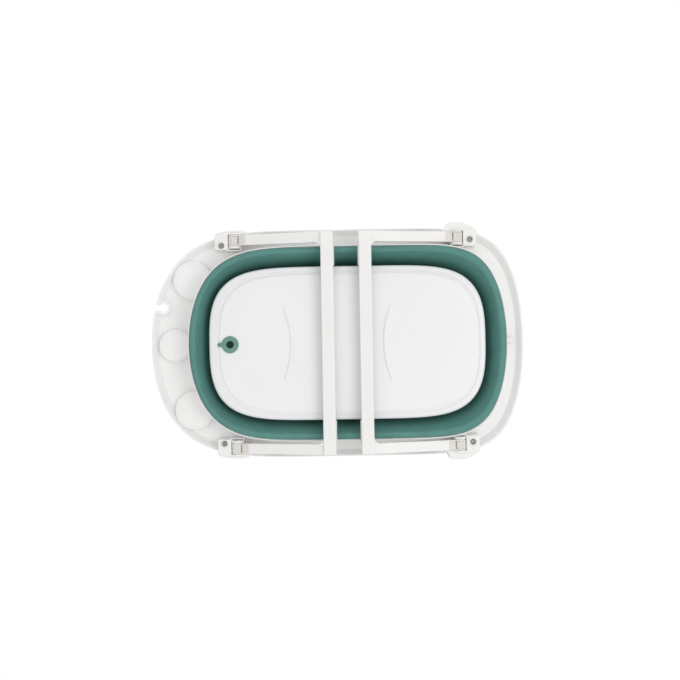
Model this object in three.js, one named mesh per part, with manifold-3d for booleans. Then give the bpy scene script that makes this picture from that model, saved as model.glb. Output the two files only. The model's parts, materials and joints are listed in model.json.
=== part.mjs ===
// Folding baby bathtub, folded flat and standing on the crossbars of its two leg frames.
// Millimetres, +Z up. The tub's length runs along X, with the tray shelf at the -X end.
// The origin is on the floor, below the middle of the tub's bounding box.
import * as THREE from 'three';
import { mergeVertices } from 'three/addons/utils/BufferGeometryUtils.js';
import Module from 'manifold-3d';

const wasm = await Module();
wasm.setup();

// ---------- driving dimensions ----------
const GAP = 0.3;              // clearance between neighbouring pieces
const WALL = 2.5;             // thickness of a moulded wall
const STATIONS = 64;          // points round an outline

// Outlines seen from above: |x / a|^p + |y / b|^q = 1, with its own p at each end.
const RIM = { x: 0, a: 400, b: 244, pLeft: 4.75, pRight: 7.9, q: 2.1 };
const MOUTH = { x: 21.8, a: 336, b: 204, pLeft: 5.25, pRight: 7.3, q: 2.0 };
const BASE = { x: 21.4, a: 291, b: 162, pLeft: 5.2, pRight: 5.7, q: 3.0 };

// Heights in the folded position.
const RIM_TOP = 100;          // top face of the rim
const RIM_PLATE = 3;          // thickness of the rim's flat plate
const SKIRT_FOOT = 82;        // lower edge of the outer skirt
const SKIRT_SLOPE = 12;       // how far the outer skirt leans out
const MOUTH_FOOT = 36;        // lower edge of the skirt round the mouth
const BASE_FOOT = 34;         // underside of the base, outside its raised panel
const BASE_PLATE = 3;         // thickness of the base's floor
const BASE_TOP = 96;          // top edge of the base's side wall
const PANEL_FOOT = 32.5;      // underside of the raised panel

// Legs: each frame is one moulding, a crossbar and two arms, hinged to the rim.
const HINGE_Z = 72;           // height of both hinge axes
const REACH = 211.5;          // hinge axis to the sole of the crossbar
const LEFT_HINGE_X = -217.5;
const RIGHT_HINGE_X = 259;
const BAR_WIDTH = 26.5;       // crossbar, along X
const BAR_HEIGHT = 22;        // crossbar, along Z
const ARM_THICK = 18;         // arm, across its slope
const ARM_IN = 211.5;         // inner face of an arm, from the tub's centre plane
const ARM_OUT = 234.5;        // outer face of an arm
const KNUCKLE_R = 13;
const PIN_R = 3;

// Hinge brackets, screwed under the rim at the four corners.
const BRACKET_TOP = 96.6;
const BRACKET_PLATE = 6;
const CHEEK_IN = 206;         // inner face of the inner cheek
const LEDGE_IN = 200.5;       // inner edge of the ledge beside it
const BOSS_R = 9.5;
const BOSS_OUT = 28;          // screw boss, outboard of the hinge axis
const SCREW_SEAT = 73;        // where a screw's head bears on its boss
const BUMP_NEAR = 30;         // swelling over a hinge: its reach towards the crossbar,
const BUMP_FAR = 41;          // its reach towards the end of the tub,
const BUMP_FLAT = { near: 21, far: 10 };   // its flat outer face,
const BUMP_FALL = 16;         // and how far it falls back at its far end

// Drain.
const DRAIN_X = -227;
const DRAIN_HOLE_R = 10.5;

// ---------- materials ----------
const finish = (color, roughness, metalness) => (name) => (
  new THREE.MeshStandardMaterial({ name, color, roughness, metalness })
);
const white = finish(0xefefec, 0.42, 0);
const green = finish(0x4f8a7f, 0.6, 0);
const steel = finish(0xb4b6b8, 0.3, 1);
const grey = finish(0xd9d9d4, 0.8, 0);

// ---------- solids ----------
function solidOf(geometry) {
  const bare = geometry.clone();
  bare.deleteAttribute('normal');
  bare.deleteAttribute('uv');
  const merged = mergeVertices(bare, 1e-3);
  const mesh = new wasm.Mesh({
    numProp: 3,
    vertProperties: new Float32Array(merged.attributes.position.array),
    triVerts: new Uint32Array(merged.index.array),
  });
  return new wasm.Manifold(mesh);
}

function geometryOf(solid) {
  const mesh = solid.getMesh();
  const geometry = new THREE.BufferGeometry();
  geometry.setAttribute('position', new THREE.BufferAttribute(new Float32Array(mesh.vertProperties), 3));
  geometry.setIndex(new THREE.BufferAttribute(new Uint32Array(mesh.triVerts), 1));
  geometry.computeVertexNormals();
  return geometry;
}

// The points of an outline, counter-clockwise, made larger by grow.
function outline(shape, grow = 0) {
  const points = [];
  for (let i = 0; i < STATIONS; i++) {
    const turn = (i / STATIONS) * 2 * Math.PI;
    const c = Math.cos(turn);
    const s = Math.sin(turn);
    const p = c < 0 ? shape.pLeft : shape.pRight;
    const x = Math.sign(c) * Math.abs(c) ** (2 / p) * (shape.a + grow);
    const y = Math.sign(s) * Math.abs(s) ** (2 / shape.q) * (shape.b + grow);
    points.push(new THREE.Vector2(shape.x + x, y));
  }
  return points;
}

// A flat shape in the plan, given its thickness from z0 to z1.
function slab(points, z0, z1, hole = null) {
  const shape = new THREE.Shape(points);
  if (hole) shape.holes.push(new THREE.Path(hole));
  const geometry = new THREE.ExtrudeGeometry(shape, { depth: z1 - z0, bevelEnabled: false });
  geometry.translate(0, 0, z0);
  return solidOf(geometry);
}

// A profile in the XZ plane, given its width from y0 to y1.
function sideSlab(shape, y0, y1) {
  const options = { depth: y1 - y0, bevelEnabled: false, curveSegments: 6 };
  const geometry = new THREE.ExtrudeGeometry(shape, options);
  geometry.rotateX(Math.PI / 2);
  geometry.translate(0, y1, 0);
  return solidOf(geometry);
}

function block(x0, x1, y0, y1, z0, z1) {
  const geometry = new THREE.BoxGeometry(Math.abs(x1 - x0), Math.abs(y1 - y0), z1 - z0);
  geometry.translate((x0 + x1) / 2, (y0 + y1) / 2, (z0 + z1) / 2);
  return solidOf(geometry);
}

function post(x, y, radius, z0, z1, topRadius = radius, sides = 20) {
  const geometry = new THREE.CylinderGeometry(topRadius, radius, z1 - z0, sides);
  geometry.rotateX(Math.PI / 2);
  geometry.translate(x, y, (z0 + z1) / 2);
  return solidOf(geometry);
}

// A round bar along Y.
function rod(x, z, radius, y0, y1, sides = 20) {
  const geometry = new THREE.CylinderGeometry(radius, radius, Math.abs(y1 - y0), sides);
  geometry.translate(x, (y0 + y1) / 2, z);
  return solidOf(geometry);
}

// Rings of points joined into a closed body: stacked and capped, or closed on themselves.
function joinRings(rings, closed) {
  const count = rings[0].length;
  const positions = rings.flat().flatMap((p) => [p.x, p.y, p.z]);
  const index = [];
  const last = closed ? rings.length : rings.length - 1;
  for (let r = 0; r < last; r++) {
    const low = r * count;
    const high = ((r + 1) % rings.length) * count;
    for (let i = 0; i < count; i++) {
      const next = (i + 1) % count;
      index.push(low + i, low + next, high + next);
      index.push(low + i, high + next, high + i);
    }
  }
  if (!closed) {
    const caps = [[0, true], [rings.length - 1, false]];
    for (const [r, down] of caps) {
      const ring = rings[r];
      const middle = ring.reduce((sum, p) => sum.add(p), new THREE.Vector3()).divideScalar(count);
      const hub = positions.length / 3;
      positions.push(middle.x, middle.y, middle.z);
      for (let i = 0; i < count; i++) {
        const a = r * count + i;
        const b = r * count + ((i + 1) % count);
        index.push(...(down ? [hub, b, a] : [hub, a, b]));
      }
    }
  }
  const geometry = new THREE.BufferGeometry();
  geometry.setAttribute('position', new THREE.Float32BufferAttribute(positions, 3));
  geometry.setIndex(index);
  return geometry;
}

const ringAt = (shape, grow, z) => outline(shape, grow).map((p) => new THREE.Vector3(p.x, p.y, z));

// A capped body whose outline changes with height: layers of [grow, z], lowest first.
const stack = (shape, layers) => (
  solidOf(joinRings(layers.map(([grow, z]) => ringAt(shape, grow, z)), false))
);

const model = new THREE.Group();
function add(name, material, shape, position = [0, 0, 0]) {
  const geometry = shape.isBufferGeometry ? shape : geometryOf(shape);
  const mesh = new THREE.Mesh(geometry, material);
  mesh.name = name;
  mesh.position.set(...position);
  model.add(mesh);
  return mesh;
}

// ---------- the four corners ----------
// out is the sign of X that points away from the tub's middle, side the sign of Y.
const LEGS = [
  { name: 'left', hingeX: LEFT_HINGE_X, out: -1, bump: 244, bossY: 212 },
  { name: 'right', hingeX: RIGHT_HINGE_X, out: 1, bump: 253.5, bossY: 217 },
];
const CORNERS = [];
for (const leg of LEGS) {
  for (const [sideName, side] of [['front', -1], ['rear', 1]]) {
    CORNERS.push({ ...leg, name: `${leg.name}_${sideName}`, side });
  }
}

// Points and blocks given at one corner as [outboard of the hinge axis, distance from the centre plane].
const cornerPoint = (corner, out, across) => (
  new THREE.Vector2(corner.hingeX + corner.out * out, corner.side * across)
);
function cornerBlock(corner, out0, out1, across0, across1, z0, z1) {
  const a = cornerPoint(corner, out0, across0);
  const b = cornerPoint(corner, out1, across1);
  return block(a.x, b.x, a.y, b.y, z0, z1);
}
const cornerRod = (corner, radius, across0, across1) => (
  rod(corner.hingeX, HINGE_Z, radius, corner.side * across0, corner.side * across1)
);

// Plan of the swelling that covers a hinge, from the line at from out to the corner's bump: a steep
// side towards the crossbar, a flat outer face, and a long slope towards the end of the tub.
const bumpPlan = (corner, from, grow) => [
  cornerPoint(corner, -BUMP_NEAR - grow, from),
  cornerPoint(corner, -BUMP_NEAR - grow, ARM_OUT + 3),
  cornerPoint(corner, -BUMP_FLAT.near, corner.bump + grow),
  cornerPoint(corner, BUMP_FLAT.far, corner.bump + grow),
  cornerPoint(corner, BUMP_FAR + grow, Math.max(corner.bump - BUMP_FALL, from + 1)),
  cornerPoint(corner, BUMP_FAR + grow, from),
];

// ---------- rim ----------
const RIM_BOSS_R = 5;
const BOSS_WEB = 3.5;         // bracket material between a screw's head and the rim's boss
const SCREW_R = 2;            // shank of a bracket screw
const TRAY_DEPTH = 15;
const TRAYS = [
  { x: -349, y: 0, r: 34 },
  { x: -308, y: 140, r: 40 },
  { x: -308, y: -140, r: 40 },
];
const NOTCH = { x: -375, y: -82, hole: 10, collar: 17, mouth: 6 };
const HANGER = { x: 376, y: 0, r: 8, hole: 3 };

function makeRim() {
  const underside = RIM_TOP - RIM_PLATE;
  const crown = outline(RIM, -SKIRT_SLOPE + WALL);
  let rim = slab(crown, underside, RIM_TOP, outline(MOUTH, 2 * GAP));

  // Skirt round the mouth, straight down to where the folding wall starts.
  rim = rim.add(slab(outline(MOUTH, 2 * GAP + WALL), MOUTH_FOOT, underside + 1, outline(MOUTH, 2 * GAP)));

  // Outer skirt, leaning out from the plate to the outline.
  const skirt = [
    ringAt(RIM, 0, SKIRT_FOOT),
    ringAt(RIM, -SKIRT_SLOPE + WALL, RIM_TOP - 0.5),
    ringAt(RIM, -SKIRT_SLOPE - 0.5, RIM_TOP - 0.5),
    ringAt(RIM, -WALL, SKIRT_FOOT),
  ];
  rim = rim.add(solidOf(joinRings(skirt, true)));

  // Room for the hinge brackets, and the lugs and screw bosses that carry them.
  const bossFoot = SCREW_SEAT + BOSS_WEB + GAP;
  const insideMouth = slab(outline(MOUTH, 2 * GAP + 1), 0, 2 * RIM_TOP);
  const behindSkirt = slab(outline(MOUTH, 2 * GAP + WALL), 0, 2 * RIM_TOP);
  for (const corner of CORNERS) {
    const reach = [-BUMP_NEAR - 1, BUMP_FAR + 2, LEDGE_IN - 1, corner.bump + 8];
    const room = cornerBlock(corner, ...reach, SKIRT_FOOT - 2, underside);
    rim = rim.subtract(room.subtract(behindSkirt));
    const lug = slab(bumpPlan(corner, LEDGE_IN - 6, 1), underside, RIM_TOP);
    rim = rim.add(lug.subtract(insideMouth));
    const boss = cornerPoint(corner, BOSS_OUT, corner.bossY);
    rim = rim.add(post(boss.x, boss.y, RIM_BOSS_R, bossFoot, underside + 1));
    rim = rim.subtract(post(boss.x, boss.y, SCREW_R + GAP, bossFoot - 1, RIM_TOP - 1.5));
  }

  // Shelf trays: round bowls let into the wide end.
  for (const tray of TRAYS) {
    const low = RIM_TOP - TRAY_DEPTH - WALL;
    const bowl = post(tray.x, tray.y, tray.r - 3, low, underside + 1, tray.r + 0.8, 40);
    rim = rim.add(bowl.subtract(insideMouth));
  }
  for (const tray of TRAYS) {
    const floor = RIM_TOP - TRAY_DEPTH;
    const hollow = post(tray.x, tray.y, tray.r - 5.5, floor, RIM_TOP + 1, tray.r - 1.2, 40);
    rim = rim.subtract(hollow.subtract(behindSkirt));
  }

  // Shower-head notch: a keyhole open to the outer edge, with a collar round it.
  const low = SKIRT_FOOT + 2;
  const insideRim = stack(RIM, [[-1, SKIRT_FOOT], [-SKIRT_SLOPE + WALL - 1, RIM_TOP - 0.4]]);
  rim = rim.add(post(NOTCH.x, NOTCH.y, NOTCH.collar, low, underside + 1).intersect(insideRim));
  rim = rim.subtract(post(NOTCH.x, NOTCH.y, NOTCH.hole, low - 10, RIM_TOP + 1));
  const slot = [NOTCH.y - NOTCH.mouth, NOTCH.y + NOTCH.mouth];
  rim = rim.subtract(block(NOTCH.x - 40, NOTCH.x, ...slot, low - 10, RIM_TOP + 1));

  // Hanging boss at the narrow end, tied to the skirt by a rib.
  rim = rim.add(post(HANGER.x, HANGER.y, HANGER.r, SKIRT_FOOT + 4, underside + 1));
  rim = rim.add(block(HANGER.x, RIM.a - SKIRT_SLOPE + 3, -1, 1, SKIRT_FOOT + 6, underside + 1));
  return rim.subtract(post(HANGER.x, HANGER.y, HANGER.hole, SKIRT_FOOT, underside, HANGER.hole, 16));
}
add('rim', white('rim_white'), makeRim());

// ---------- base ----------
const EDGE_R = 8;             // rounding between the base's floor and its side wall
const RIB_WIDTH = 4;
const RIB_HEIGHT = 1.3;
const RIBS = [
  { apex: -95.5, radius: 190, half: 83, out: 1 },
  { apex: 101, radius: 215, half: 83, out: -1 },
];

function roundedFoot(shape, grow, z0, z1, radius) {
  const layers = [];
  for (const turn of [0, 30, 60, 90]) {
    const t = THREE.MathUtils.degToRad(turn);
    layers.push([grow - radius * (1 - Math.sin(t)), z0 + radius * (1 - Math.cos(t))]);
  }
  layers.push([grow, z1]);
  return stack(shape, layers);
}

// A shallow rib on the panel, bent to part of a circle.
function archRib(rib) {
  const centre = rib.apex - rib.out * rib.radius;
  const reach = Math.asin(rib.half / rib.radius);
  const steps = 16;
  const outer = [];
  const inner = [];
  for (let i = 0; i <= steps; i++) {
    const turn = -reach + (2 * reach * i) / steps;
    const along = new THREE.Vector2(rib.out * Math.cos(turn), Math.sin(turn));
    const width = RIB_WIDTH * Math.cos((i / steps - 0.5) * 2.6);
    outer.push(new THREE.Vector2(centre, 0).addScaledVector(along, rib.radius + width / 2));
    inner.push(new THREE.Vector2(centre, 0).addScaledVector(along, rib.radius - width / 2));
  }
  return slab([...outer, ...inner.reverse()], PANEL_FOOT - RIB_HEIGHT, PANEL_FOOT + 1);
}

function makeBase() {
  const hollow = roundedFoot(BASE, -WALL, BASE_FOOT + BASE_PLATE, BASE_TOP + 5, EDGE_R - WALL);
  let base = roundedFoot(BASE, 0, BASE_FOOT, BASE_TOP, EDGE_R).subtract(hollow);
  const panel = { ...BASE, x: BASE.x + 3, a: BASE.a - 3 };
  base = base.add(stack(panel, [[-16, PANEL_FOOT], [-14.5, BASE_FOOT + 1]]));
  for (const rib of RIBS) base = base.add(archRib(rib));
  return base.subtract(post(DRAIN_X, 0, DRAIN_HOLE_R, 0, BASE_TOP));
}
add('base_tray', white('base_white'), makeBase());

// ---------- folding wall ----------
// A rubbery band that starts under the skirt of the mouth, turns back up and meets the top of the base.
// Its section is measured inwards from the mouth's outline, over a band of the nominal width.
const BAND = 42;
const BEND_R = 6;
const BAND_THICK = 2.4;
const BEND_LOW = 31.6;        // lowest point of the bend's middle line
const BAND_SLOPE = 60;        // degrees above level

function bandSection() {
  const middle = [new THREE.Vector2(1.5, MOUTH_FOOT + 6)];
  const centre = new THREE.Vector2(1.5 + BEND_R, BEND_LOW + BEND_R);
  for (let turn = 180; turn <= 270 + BAND_SLOPE; turn += 30) {
    const t = THREE.MathUtils.degToRad(turn);
    middle.push(new THREE.Vector2(centre.x + BEND_R * Math.cos(t), centre.y + BEND_R * Math.sin(t)));
  }
  const start = middle[middle.length - 1];
  const end = BAND - BAND_THICK / 2 - 2 * GAP;
  const rise = (end - start.x) * Math.tan(THREE.MathUtils.degToRad(BAND_SLOPE));
  middle.push(new THREE.Vector2(end, start.y + rise));
  middle.push(new THREE.Vector2(end, BASE_TOP - 1));
  return middle;
}

function thicken(middle, thick) {
  const left = [];
  const right = [];
  for (let i = 0; i < middle.length; i++) {
    const before = middle[Math.max(i - 1, 0)];
    const after = middle[Math.min(i + 1, middle.length - 1)];
    const normal = after.clone().sub(before).normalize();
    normal.set(-normal.y, normal.x).multiplyScalar(thick / 2);
    left.push(middle[i].clone().add(normal));
    right.push(middle[i].clone().sub(normal));
  }
  return [...left, ...right.reverse()];
}

function makeWall() {
  const section = thicken(bandSection(), BAND_THICK);
  const mouth = outline(MOUTH);
  const base = outline(BASE);
  const rings = section.map((point) => mouth.map((outer, i) => {
    const plan = outer.clone().lerp(base[i], point.x / BAND);
    return new THREE.Vector3(plan.x, plan.y, point.y);
  }));
  return solidOf(joinRings(rings, true));
}
add('folding_wall', green('wall_green'), makeWall());

// ---------- drain plug ----------
function makePlug() {
  const flangeTop = PANEL_FOOT - GAP;
  const flangeLow = flangeTop - 2.4;
  let plug = post(0, 0, 18, flangeLow, flangeTop, 18, 40);
  plug = plug.add(slab([
    new THREE.Vector2(-27, -3),
    new THREE.Vector2(-24, -5),
    new THREE.Vector2(-12, -5),
    new THREE.Vector2(-12, 5),
    new THREE.Vector2(-24, 5),
    new THREE.Vector2(-27, 3),
  ], flangeLow, flangeTop));
  plug = plug.add(post(0, 0, DRAIN_HOLE_R - 2 * GAP, flangeTop - 1, BASE_FOOT + 8, DRAIN_HOLE_R - 1.6, 32));
  return plug.subtract(post(0, 0, 8, flangeLow - 1, BASE_FOOT + 5.5, 6.8, 32));
}
add('drain_plug', green('plug_green'), makePlug(), [DRAIN_X, 0, 0]);

// ---------- legs ----------
// along is measured from the hinge axis towards the crossbar's sole.
const POCKET_HALF = 7.6;      // lock catch pocket, half its length along X
const POCKET_TOP = 66.6;
const POCKET_WALL = 2.8;      // thickness of the arm beside the pocket
const PAD_DEPTH = 1.5;
const PAD_PROUD = 2;
const PAD_CENTRE = 188;       // foot pad, from the centre plane
const PAD_HALF = 26;
const PAD_Z = 11;
const PAD_RISE = 7;           // half the height of a foot pad

function makeLeg(leg) {
  const at = (along) => leg.hingeX - leg.out * along;
  const barNear = REACH - BAR_WIDTH;
  const barMid = REACH - BAR_WIDTH / 2;
  const slope = Math.atan2(HINGE_Z - BAR_HEIGHT / 2, barMid);
  const dx = (ARM_THICK / 2) * Math.sin(slope);
  const dz = (ARM_THICK / 2) * Math.cos(slope);

  // Crossbar with rounded corners, then the two arms and knuckles as one plate as wide as the frame.
  const r = 3.5;
  const bar = new THREE.Shape();
  const lowX = Math.min(at(barNear), at(REACH));
  const highX = Math.max(at(barNear), at(REACH));
  bar.moveTo(lowX + r, 0);
  bar.lineTo(highX - r, 0);
  bar.quadraticCurveTo(highX, 0, highX, r);
  bar.lineTo(highX, BAR_HEIGHT - r);
  bar.quadraticCurveTo(highX, BAR_HEIGHT, highX - r, BAR_HEIGHT);
  bar.lineTo(lowX + r, BAR_HEIGHT);
  bar.quadraticCurveTo(lowX, BAR_HEIGHT, lowX, BAR_HEIGHT - r);
  bar.lineTo(lowX, r);
  bar.quadraticCurveTo(lowX, 0, lowX + r, 0);
  const arm = new THREE.Shape([
    new THREE.Vector2(at(dx), HINGE_Z + dz),
    new THREE.Vector2(at(-dx), HINGE_Z - dz),
    new THREE.Vector2(at(barMid - dx), BAR_HEIGHT / 2 - dz),
    new THREE.Vector2(at(barMid + dx), BAR_HEIGHT / 2 + dz),
  ]);
  let frame = sideSlab(arm, -ARM_OUT, ARM_OUT);
  frame = frame.add(rod(leg.hingeX, HINGE_Z, KNUCKLE_R, -ARM_OUT, ARM_OUT, 28));
  frame = frame.add(sideSlab(bar, -ARM_OUT, ARM_OUT));

  // Open middle of the frame, with filleted corners at the crossbar.
  const fillet = 11;
  const opening = new THREE.Shape();
  opening.moveTo(at(-40), -ARM_IN);
  opening.lineTo(at(barNear - fillet), -ARM_IN);
  opening.quadraticCurveTo(at(barNear), -ARM_IN, at(barNear), -ARM_IN + fillet);
  opening.lineTo(at(barNear), ARM_IN - fillet);
  opening.quadraticCurveTo(at(barNear), ARM_IN, at(barNear - fillet), ARM_IN);
  opening.lineTo(at(-40), ARM_IN);
  frame = frame.subtract(slab(opening.getPoints(5), -5, RIM_TOP));

  // Pockets moulded into the top of the crossbar, between stiffening ribs.
  const pockets = 7;
  const pocketEnd = ARM_IN - 6;
  const halfRib = 1.2;
  const pitch = (2 * pocketEnd) / pockets;
  for (let i = 0; i < pockets; i++) {
    const y = i * pitch - pocketEnd;
    const span = [y + halfRib, y + pitch - halfRib, 3.5, BAR_HEIGHT + 1];
    frame = frame.subtract(block(at(barNear + 3), at(REACH - 5), ...span));
  }

  // Pin bore, the pocket for the lock catch under each knuckle, and the recess for each foot pad.
  frame = frame.subtract(rod(leg.hingeX, HINGE_Z, PIN_R + GAP, -ARM_OUT - 1, ARM_OUT + 1));
  for (const side of [-1, 1]) {
    const inner = side * (ARM_IN + POCKET_WALL);
    const outer = side * (ARM_OUT - POCKET_WALL);
    const x = leg.hingeX;
    frame = frame.subtract(block(x - POCKET_HALF, x + POCKET_HALF, inner, outer, HINGE_Z - 30, POCKET_TOP));
    const y = side * PAD_CENTRE;
    const recess = [y - PAD_HALF, y + PAD_HALF, PAD_Z - PAD_RISE, PAD_Z + PAD_RISE];
    frame = frame.subtract(block(at(REACH - PAD_DEPTH), at(REACH + 9), ...recess));
  }
  return frame;
}

for (const leg of LEGS) {
  add(`${leg.name}_leg`, white(`${leg.name}_leg_white`), makeLeg(leg));
}

// Foot pad: a rounded rectangle, let into the sole and standing proud of it.
function makePad(out) {
  const r = 2;
  const h = PAD_HALF - GAP;
  const v = PAD_RISE - GAP;
  const shape = new THREE.Shape();
  shape.moveTo(-h + r, -v);
  shape.lineTo(h - r, -v);
  shape.quadraticCurveTo(h, -v, h, -v + r);
  shape.lineTo(h, v - r);
  shape.quadraticCurveTo(h, v, h - r, v);
  shape.lineTo(-h + r, v);
  shape.quadraticCurveTo(-h, v, -h, v - r);
  shape.lineTo(-h, -v + r);
  shape.quadraticCurveTo(-h, -v, -h + r, -v);
  const options = { depth: PAD_DEPTH + PAD_PROUD - GAP, bevelEnabled: false, curveSegments: 4 };
  const pad = new THREE.ExtrudeGeometry(shape, options);
  pad.rotateX(Math.PI / 2);
  pad.rotateZ(out * -Math.PI / 2);
  return pad;
}

for (const corner of CORNERS) {
  const seat = REACH - PAD_DEPTH + GAP;
  const place = [corner.hingeX - corner.out * seat, corner.side * PAD_CENTRE, PAD_Z];
  add(`foot_pad_${corner.name}`, grey('pad_grey'), makePad(corner.out), place);
}

// ---------- hinge brackets, pins, screws and lock catches ----------
const CHEEK_R = 14;
const CHEEK_OUT = ARM_OUT + 5;   // outer face of the outer cheek
const SHELL_FOOT = 74;        // lower edge of the swelling
const WEB_FOOT = 62;          // lower edge of the stop web
const PLATE_FOOT = BRACKET_TOP - BRACKET_PLATE;

// Cheek beside a knuckle: rounded round the pin, straight up to the plate.
function cheek(corner, across0, across1) {
  const x = corner.hingeX;
  const shape = new THREE.Shape();
  shape.moveTo(x - CHEEK_R, PLATE_FOOT + 1);
  shape.lineTo(x - CHEEK_R, HINGE_Z);
  shape.absarc(x, HINGE_Z, CHEEK_R, Math.PI, 2 * Math.PI, false);
  shape.lineTo(x + CHEEK_R, PLATE_FOOT + 1);
  const y0 = Math.min(corner.side * across0, corner.side * across1);
  return sideSlab(shape, y0, y0 + Math.abs(across1 - across0));
}

function makeBracket(corner) {
  const top = PLATE_FOOT + 1;
  const innerCheek = [CHEEK_IN, ARM_IN - 0.5];
  const outerCheek = [ARM_OUT + 0.5, CHEEK_OUT];
  let bracket = slab(bumpPlan(corner, LEDGE_IN, 0), PLATE_FOOT, BRACKET_TOP);
  for (const across of [innerCheek, outerCheek]) bracket = bracket.add(cheek(corner, ...across));

  // Swelling outside the outer cheek.
  bracket = bracket.add(slab(bumpPlan(corner, outerCheek[0], 0), SHELL_FOOT, top));

  // Ledge with its slot, beside the inner cheek.
  bracket = bracket.add(cornerBlock(corner, -CHEEK_R, BUMP_FAR, LEDGE_IN, CHEEK_IN + 1, 80, top));
  bracket = bracket.subtract(cornerBlock(corner, -12, 12, LEDGE_IN + 2.9, LEDGE_IN + 4.7, 60, 90));

  // Stop web behind the knuckle, and the side walls that tie it to the screw boss.
  bracket = bracket.add(cornerBlock(corner, 16.5, 20, CHEEK_IN, CHEEK_OUT, WEB_FOOT, top));
  for (const across of [innerCheek, outerCheek]) {
    bracket = bracket.add(cornerBlock(corner, 13, 20, ...across, WEB_FOOT, top));
  }
  const boss = cornerPoint(corner, BOSS_OUT, corner.bossY);
  const rib = [corner.bossY + BOSS_R - 1.5, corner.bossY + BOSS_R + 1];
  bracket = bracket.add(post(boss.x, boss.y, BOSS_R, 60, top));
  bracket = bracket.add(cornerBlock(corner, BOSS_OUT, BUMP_FAR, ...rib, 70, top));

  // Clear of the skirt round the mouth.
  bracket = bracket.subtract(slab(outline(MOUTH, 3 * GAP + WALL), 0, 2 * RIM_TOP));

  // Screw recess from below, shank hole, and the seat of the rim's boss from above.
  bracket = bracket.subtract(post(boss.x, boss.y, 6, 50, SCREW_SEAT));
  bracket = bracket.subtract(post(boss.x, boss.y, SCREW_R + 0.4, 60, RIM_TOP));
  bracket = bracket.subtract(post(boss.x, boss.y, RIM_BOSS_R + GAP, SCREW_SEAT + BOSS_WEB, RIM_TOP));
  return bracket.subtract(cornerRod(corner, PIN_R + GAP, CHEEK_IN - 1, CHEEK_OUT - 0.8));
}

const SCREW_HEAD = 2.4;
function makeScrew() {
  const head = post(0, 0, 4.5, 0, SCREW_HEAD, 4.5, 14).add(post(0, 0, 3, -0.8, 0.1, 4.5, 14));
  const shank = post(0, 0, SCREW_R, SCREW_HEAD - 0.2, 18, SCREW_R, 10);
  const slotA = block(-2.6, 2.6, -0.55, 0.55, -2, 1.2);
  const slotB = block(-0.55, 0.55, -2.6, 2.6, -2, 1.2);
  return geometryOf(head.add(shank).subtract(slotA).subtract(slotB));
}

// Lock catch: a sprung press tab with three grip ribs, sitting in the pocket under the knuckle.
function makeCatch() {
  const halfX = POCKET_HALF - 0.4;
  const halfY = (ARM_OUT - ARM_IN) / 2 - POCKET_WALL - 0.4;
  let tab = block(-halfX, halfX, -halfY, halfY, 0, 4.2);
  const rib = [1.5 - halfY, halfY - 1.5, -0.8, 0.5];
  for (const x of [-4.5, 0, 4.5]) tab = tab.add(block(x - 0.7, x + 0.7, ...rib));
  return geometryOf(tab);
}

const screwShape = makeScrew();
const catchShape = makeCatch();
const pinFrom = CHEEK_IN + 0.2;
const pinTo = CHEEK_OUT - 1.1;
for (const corner of CORNERS) {
  add(`hinge_bracket_${corner.name}`, white('bracket_white'), makeBracket(corner));

  const pin = new THREE.CylinderGeometry(PIN_R, PIN_R, pinTo - pinFrom, 20);
  add(`hinge_pin_${corner.name}`, steel('pin_steel'), pin, [
    corner.hingeX,
    corner.side * (pinFrom + pinTo) / 2,
    HINGE_Z,
  ]);

  const boss = cornerPoint(corner, BOSS_OUT, corner.bossY);
  const screwPlace = [boss.x, boss.y, SCREW_SEAT - SCREW_HEAD - GAP];
  add(`bracket_screw_${corner.name}`, steel('screw_steel'), screwShape, screwPlace);

  const catchY = corner.side * (ARM_IN + ARM_OUT) / 2;
  add(`lock_catch_${corner.name}`, white('catch_white'), catchShape, [corner.hingeX, catchY, 59.8]);
}

export default model;
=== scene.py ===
"""A folding baby bathtub, folded flat, in millimetres; the camera looks at it from straight below."""
import json
import math

import bmesh
import bpy
import numpy as np
from mathutils import Matrix, Vector


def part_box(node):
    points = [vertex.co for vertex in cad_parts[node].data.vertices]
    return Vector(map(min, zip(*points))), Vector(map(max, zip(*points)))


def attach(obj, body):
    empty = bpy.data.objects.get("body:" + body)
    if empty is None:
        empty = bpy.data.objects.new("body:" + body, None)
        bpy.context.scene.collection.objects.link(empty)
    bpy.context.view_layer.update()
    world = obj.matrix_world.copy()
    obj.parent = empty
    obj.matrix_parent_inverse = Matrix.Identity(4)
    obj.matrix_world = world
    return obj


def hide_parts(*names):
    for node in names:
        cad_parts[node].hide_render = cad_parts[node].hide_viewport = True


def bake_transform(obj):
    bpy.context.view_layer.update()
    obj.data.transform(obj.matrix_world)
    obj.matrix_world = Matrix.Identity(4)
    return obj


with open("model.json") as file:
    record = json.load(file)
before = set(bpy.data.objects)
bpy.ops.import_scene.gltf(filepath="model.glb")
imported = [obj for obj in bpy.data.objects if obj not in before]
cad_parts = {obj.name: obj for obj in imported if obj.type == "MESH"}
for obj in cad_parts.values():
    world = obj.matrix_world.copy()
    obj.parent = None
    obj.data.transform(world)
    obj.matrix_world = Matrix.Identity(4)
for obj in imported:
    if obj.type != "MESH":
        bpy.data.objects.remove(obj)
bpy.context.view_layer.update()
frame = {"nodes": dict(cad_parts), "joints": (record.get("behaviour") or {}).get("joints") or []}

MM = 0.001
NODES = frame["nodes"]


def box_mm(node):
    """Lowest and highest corner of a CAD node, in millimetres."""
    lo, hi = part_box(node)
    return np.array(lo) / MM, np.array(hi) / MM


# ---------- driving dimensions, in millimetres ----------
GAP = 0.3
WALL = 2.5
STATIONS = 480                # points round an outline, a multiple of four

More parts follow.
